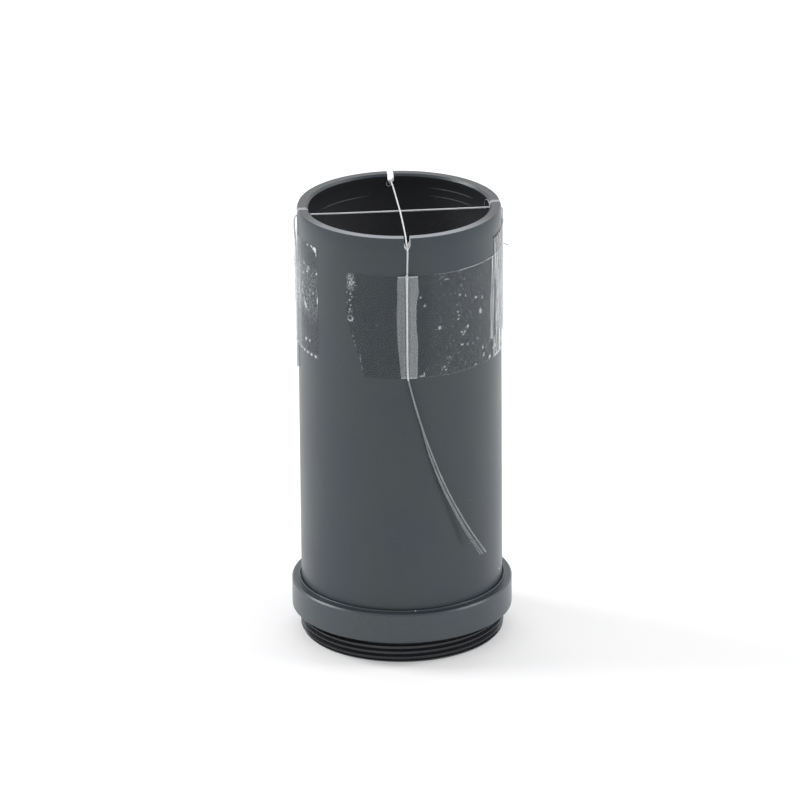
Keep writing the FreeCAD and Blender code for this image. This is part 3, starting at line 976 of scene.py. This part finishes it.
def front_shape(bearing, z):
    up = (z - FRONT_LOW) / (FRONT_HIGH - FRONT_LOW)
    share = (bearing - FRONT_LEFT) / (FRONT_RIGHT - FRONT_LEFT)
    torn = along_table(z, TORN_EDGE) + 1.1 * saw_tooth(z, 0.95) * between(z, 62.0, 65.0)
    torn += 0.5 * noise.noise(Vector((z * 1.7, 3.1, 0.4)))
    bearing = torn + share * (FRONT_RIGHT - torn)
    feet = [low + up * (high - low) for low, high in
            ((-4.2, -5.4), (-0.9, -2.4), (0.4, 1.8), (4.8, 6.5))]
    over_line = tent_rise(bearing, feet, 0.99 - 0.34 * up)
    rise = over_line
    rise += 0.08 * between(bearing, 61.0 + 1.5 * up, 64.2)
    loose = between(bearing, 86.0, 98.0)
    rise += loose * (0.30 + 0.86 * between(up, 0.35, 0.95))
    rise += 0.05 * streak(bearing, z, 7.7, 0.5, 0.25) * between(bearing, 84.0, 92.0)
    z += TENT_LIFT * over_line
    tent_left = along_table(z, TENT_LEFT) + 0.2 * noise.noise(Vector((z * 1.3, 0.2, 5.5)))
    tent_right = along_table(z, TENT_RIGHT) + 0.2 * noise.noise(Vector((z * 1.6, 8.2, 1.5)))
    tent = inside(bearing, tent_left, tent_right, 0.22)
    haze_and_painted_light = tent * (0.135 + 0.045 * streak(bearing, z, 1.0, 1.7, 0.04))
    haze_and_painted_light += tent * 0.09 * inside(bearing, tent_right - 0.5, tent_right, 0.3)
    haze_and_painted_light += tent * 0.22 * between(up, 0.985, 0.995)
    haze_and_painted_light += tent * 0.20 * between(0.012 - up, 0.0, 0.008)
    haze_and_painted_light -= tent * 0.05 * inside(bearing, 2.9, 3.7, 0.3)
    grainy = noise.noise(Vector((bearing * 2.2, z * 2.6, 2.0)))
    haze_and_painted_light += tent * 0.10 * inside(bearing, 5.5, tent_right, 0.8) * inside(z, 58.2, 61.0, 0.7) * grainy
    flecks = noise.noise(Vector((bearing * 0.75, z * 2.3, 14.0)))
    haze_and_painted_light += (0.10 * max(flecks - 0.30, 0.0) + 0.004) * inside(bearing, 18.0, 61.0, 6.0)
    strength, spots = (0.50, BUBBLES) if bearing > 0 else (0.62, TORN_SPOTS)
    haze_and_painted_light = max(haze_and_painted_light, strength * spots_haze(bearing, z, spots))
    patch = inside(bearing, -30.2, -26.6, 1.5) * inside(z, 70.2, 72.6, 0.7)
    crinkle = noise.noise(Vector((bearing * 2.4, z * 3.4, 41.0)))
    haze_and_painted_light = max(haze_and_painted_light, patch * (0.10 + 1.10 * crinkle))
    ring = math.hypot((bearing + 28.7) * DEGREE / 0.62, (z - 64.7) / 0.60)
    lit = between(65.4 - z, 0.0, 0.8) * between(bearing + 30.6, 0.0, 1.4)
    haze_and_painted_light = max(haze_and_painted_light, 0.4 * inside(ring, 0.62, 1.0, 0.15) * lit)
    # A bright line along the top edge: painted highlight.
    top_edge_glint = inside(bearing, 36.0, 52.0, 3.0) * (0.34 + 0.3 * streak(bearing, 0.0, 4.0, 0.4))
    top_edge_glint += 0.36 * inside(bearing, 57.0, 90.0, 2.0) + 0.10 * inside(bearing, 22.0, 90.0, 5.0)
    haze_and_painted_light = max(haze_and_painted_light, top_edge_glint * between(z, 72.88, 73.0))
    # A weak bright line along the bottom edge: painted highlight.
    haze_and_painted_light = max(haze_and_painted_light, 0.03 * inside(bearing, 12.0, 62.0, 2.0) * between(54.22 - z, 0.0, 0.12))
    step_left = along_table(z, STEP_LEFT)
    over_step = inside(bearing, step_left, 66.4, 0.25)
    haze_and_painted_light += over_step * (0.18 + 0.60 * streak(bearing, z, 9.0, 2.0, 0.16))
    wrinkled = between(bearing, 66.2, 67.0)
    folds = streak(bearing, z, 12.0, 1.2, 0.10) + 0.5 * streak(bearing, z, 15.0, 2.6, 0.45)
    haze_and_painted_light += wrinkled * (0.18 + 0.60 * folds)
    # The fold in the loose end is painted dark: painted shade.
    flap_fold_shade = 0.10 + 0.40 * abs(streak(bearing, z, 33.0, 0.9, 0.8))
    haze_and_painted_light -= between(bearing, 89.5, 91.5) * (haze_and_painted_light + flap_fold_shade)
    teeth = saw_tooth(bearing * DEGREE, 0.9)
    haze_and_painted_light = max(haze_and_painted_light, wrinkled * 0.8 * teeth * between(54.6 - z, 0.0, 0.3))
    bright = inside(bearing, 74.2, 75.6, 0.3) * inside(z, 54.3, 58.5, 0.5)
    haze_and_painted_light = max(haze_and_painted_light, 0.8 * bright)
    # A dark band beside the step: painted shade.
    dark = inside(bearing, 66.5, 68.1, 0.3) * inside(z, 57.6, 68.4, 0.5)
    haze_and_painted_light -= dark * (haze_and_painted_light + 0.45)
    # The edges of the loose end are painted dark: painted shade.
    flap_edge = max(between(bearing, 96.4, 97.2), between(bearing, 88.0, 90.0)
                    * between(up, 0.985, 0.995))
    haze_and_painted_light -= flap_edge * (haze_and_painted_light + 0.45)
    z -= 1.0 * loose * between(up, 0.8, 1.0)
    bearing -= 4.0 * loose
    z += 0.10 * (1 - share) * noise.noise(Vector((bearing * 0.2, 0.0, 6.0)))
    return bearing, z, rise, haze_and_painted_light


front_tape = film_strip("front_tape", (FRONT_LEFT, FRONT_RIGHT), (FRONT_LOW, FRONT_HIGH), 290,
                        132, front_shape)
finish_piece(front_tape, "clear_tape", "tape_front")

# %% [markdown]
# ## The upright tapes
# Three shorter strips run up the wall over the other line ends. They were pulled off a cutter,
# so their top and bottom ends have its saw teeth, which trap air and show as a row of pale dots.
# Their top and side edges get painted shade.

# %% Upright tapes
LEFT_SPOTS = spots_from([
    (-58.2, 75.9, 30, 30, 75), (-56.2, 75.55, 26, 34, 90), (-54.6, 75.4, 34, 55, 85),
    (-53.8, 74.7, 14, 50, 55), (-62.6, 75.7, 20, 36, 50), (-67.6, 71.7, 24, 34, 42),
    (-62.3, 71.3, 22, 30, 55), (-63.6, 70.6, 34, 22, 60), (-69.3, 69.8, 26, 22, 50),
    (-70.4, 67.6, 18, 40, 45), (-70.6, 66.3, 20, 40, 45), (-73.6, 64.8, 30, 50, 40),
    (-66.9, 64.3, 26, 60, 55), (-65.5, 63.9, 26, 50, 60), (-68.3, 64.9, 20, 40, 50),
    (-68.9, 66.0, 14, 30, 40), (-60.6, 67.3, 16, 30, 28), (-57.2, 67.1, 20, 30, 26),
    (-53.4, 71.0, 20, 26, 55), (-52.9, 66.1, 12, 95, 75), (-66.2, 57.7, 26, 42, 65),
    (-61.4, 57.8, 20, 26, 60), (-64.5, 57.9, 14, 20, 40), (-75.0, 67.8, 20, 60, 40),
    (-76.0, 65.6, 16, 50, 40), (-72.2, 70.8, 12, 30, 30)])
CUTTER_PITCH = 1.4
STRIP_HALF = 9.5 * MM
STRIP_LENGTH = 20.9


def upright_shape(middle, low, line_bearing, top_rise, spots, tent_haze, seed):
    """The shape of one upright strip, with its teeth, its tent over the line and its marks, and
    painted shade along its top and side edges.
    """
    half = math.degrees(STRIP_HALF / (TUBE_R + FILM_GAP))
    high = low + STRIP_LENGTH

    def shape(bearing, z):
        along = (bearing - middle) * DEGREE
        teeth = saw_tooth(along + 0.4, CUTTER_PITCH)
        up = (z - low) / (high - low)
        to_line = abs(bearing - line_bearing)
        rise = (top_rise[0] + (top_rise[1] - top_rise[0]) * up) * (1 - between(to_line, 0.4, 4.8))
        grain = noise.noise(Vector((bearing * 1.5, z * 2.2, seed + 3)))
        rough_part = inside(z, 62.8, 71.4, 1.5)
        haze_and_painted_light = 1.6 * tent_haze * max(grain - 0.10, 0.0) * rough_part
        near_line = 1 - between(to_line, 5.0, 13.0)
        haze_and_painted_light += near_line * tent_haze * (0.6 + 1.1 * rough_part
                                         * (0.5 + streak(bearing, z, seed, 0.8, 0.9)))
        haze_and_painted_light = max(haze_and_painted_light, 0.75 * teeth * teeth * between(low + 0.62 - z, 0.0, 0.35))
        # The top edge between the teeth and the side edges are painted dark: painted shade.
        top_edge = between(z, high - 0.42, high - 0.2)
        haze_and_painted_light -= top_edge * (haze_and_painted_light * (1 - teeth) + 0.65 * (1 - teeth))
        side_edge = between(abs(bearing - middle), half - 0.55, half - 0.25)
        haze_and_painted_light -= side_edge * (1 - top_edge) * 0.5 * (1 - min(haze_and_painted_light * 3, 1.0))
        haze_and_painted_light = max(haze_and_painted_light, spots_haze(bearing, z, spots))
        z += 0.30 * (teeth - 1) * between(up, 0.97, 1.0)
        z += 0.30 * (1 - teeth) * between(0.03 - up, 0.0, 0.03)
        return bearing, z, rise, haze_and_painted_light

    return (middle - half, middle + half), (low, high), shape


def right_shape_marks(shape):
    """Adds the pale wrinkles of the strip at the right, which is seen almost edge on, and a painted
    shadow along its top edge.
    """
    def marked(bearing, z):
        bearing, z, rise, haze_and_painted_light = shape(bearing, z)
        wrinkle = streak(bearing, z, 21.0, 1.5, 0.22) + 0.4 * streak(bearing, z, 24.0, 3.0, 0.6)
        haze_and_painted_light += (0.08 + 0.9 * wrinkle) * inside(bearing, 65.6, 84.0, 0.4)
        # A dark band along the top edge: painted shadow.
        haze_and_painted_light -= between(z, 75.95, 76.15) * (haze_and_painted_light + 0.6)
        bearing += 1.8 * between(z, 66.0, 74.0) * (1 - between(bearing, 64.5, 80.0))
        return bearing, z, rise, haze_and_painted_light
    return marked


UPRIGHTS = [
    ("left_tape", "tape_left", (-82.85, 55.1, -84.42, (0.37, 0.64), LEFT_SPOTS, 0.24, 31.0)),
    ("right_tape", "tape_right", (94.75, 55.6, 95.56, (0.31, 0.42), [], 0.10, 32.0)),
    ("back_tape", "tape_back", (185.1, 55.1, 185.10, (0.31, 0.60), [], 0.12, 33.0))]
for name, node, settings in UPRIGHTS:
    bearings, heights, shape = upright_shape(*settings)
    if node == "tape_right":
        shape = right_shape_marks(shape)
    finish_piece(film_strip(name, bearings, heights, 110, 120, shape), "clear_tape", node)

# %% [markdown]
# ## Floor and light
# The object stands on a plain white sweep. The floor is lit like the object, and a share of
# plain white that is seen straight, in mirror images and through glass, but lights nothing, lifts
# it to the paper white of the photograph, so that just the soft shadow stays. Two small soft
# boxes at the sides and a wide one behind draw the pale edges of the tube and the rim. The
# ceiling looks darker in mirror images only.

# %% Floor
FLOOR_GLOW = 0.23


def seen_directly(tree):
    """1 for a ray that looks at a thing, straight or mirrored or through glass, and 0 for its
    light on others. The Light Path node comes with it."""
    paths = add(tree, "ShaderNodeLightPath")
    mirrored = arithmetic(tree, "MAXIMUM", paths.outputs["Is Glossy Ray"],
                          paths.outputs["Is Transmission Ray"])
    return arithmetic(tree, "MAXIMUM", paths.outputs["Is Camera Ray"], mirrored), paths


bpy.ops.mesh.primitive_plane_add(size=6, location=(0, 0, 0))
floor = new_piece("floor")
floor_material, floor_tree, floor_shader = new_material("white_floor")
glow = arithmetic(floor_tree, "MULTIPLY", seen_directly(floor_tree)[0], FLOOR_GLOW)
set_inputs(floor_tree, floor_shader, Base_Color=(0.82, 0.82, 0.83, 1), Roughness=0.9,
           Specular_IOR_Level=0.1, Emission_Color=(1, 1, 1, 1), Emission_Strength=glow)
floor.data.materials.append(floor_material)

# %% World
world = bpy.data.worlds.new("studio")
bpy.context.scene.world = world
world.use_nodes = True
world_tree = world.node_tree
sees_white, world_paths = seen_directly(world_tree)
strength = add(world_tree, "ShaderNodeMix", data_type="FLOAT")
for slot, value in ((0, sees_white), (2, 0.60), (3, 1.0)):
    feed(world_tree, strength.inputs[slot], value)
way_up = add(world_tree, "ShaderNodeSeparateXYZ")
world_tree.links.new(add(world_tree, "ShaderNodeTexCoord").outputs["Generated"],
                     way_up.inputs[0])
ceiling = arithmetic(world_tree, "MULTIPLY", world_paths.outputs["Is Glossy Ray"],
                     ramp(world_tree, way_up.outputs["Z"], 0.55, 0.85))
world_colour = blend_colour(world_tree, ceiling, (1, 1, 1, 1), (0.30, 0.30, 0.31, 1))
set_inputs(world_tree, world_tree.nodes["Background"], Color=world_colour,
           Strength=strength.outputs[0])


# %% Lamps
def soft_box(name, place, width, height, power):
    """A rectangular lamp that faces the middle of the tube."""
    lamp = bpy.data.lights.new(name, "AREA")
    lamp.shape = "RECTANGLE"
    lamp.size = width
    lamp.size_y = height
    lamp.energy = power
    box = bpy.data.objects.new(name, lamp)
    bpy.context.scene.collection.objects.link(box)
    box.location = place
    aim = Vector((0, 0, 0.04)) - Vector(place)
    box.rotation_euler = aim.to_track_quat("-Z", "Y").to_euler()


soft_box("left_box", (-0.56, 0.14, 0.50), 0.30, 0.30, 2.6)
soft_box("right_box", (0.56, 0.0, 0.50), 0.30, 0.30, 1.6)
soft_box("back_box", (0.0, 0.70, 0.72), 0.9, 0.30, 2.2)
bpy.context.scene.view_settings.view_transform = "Standard"
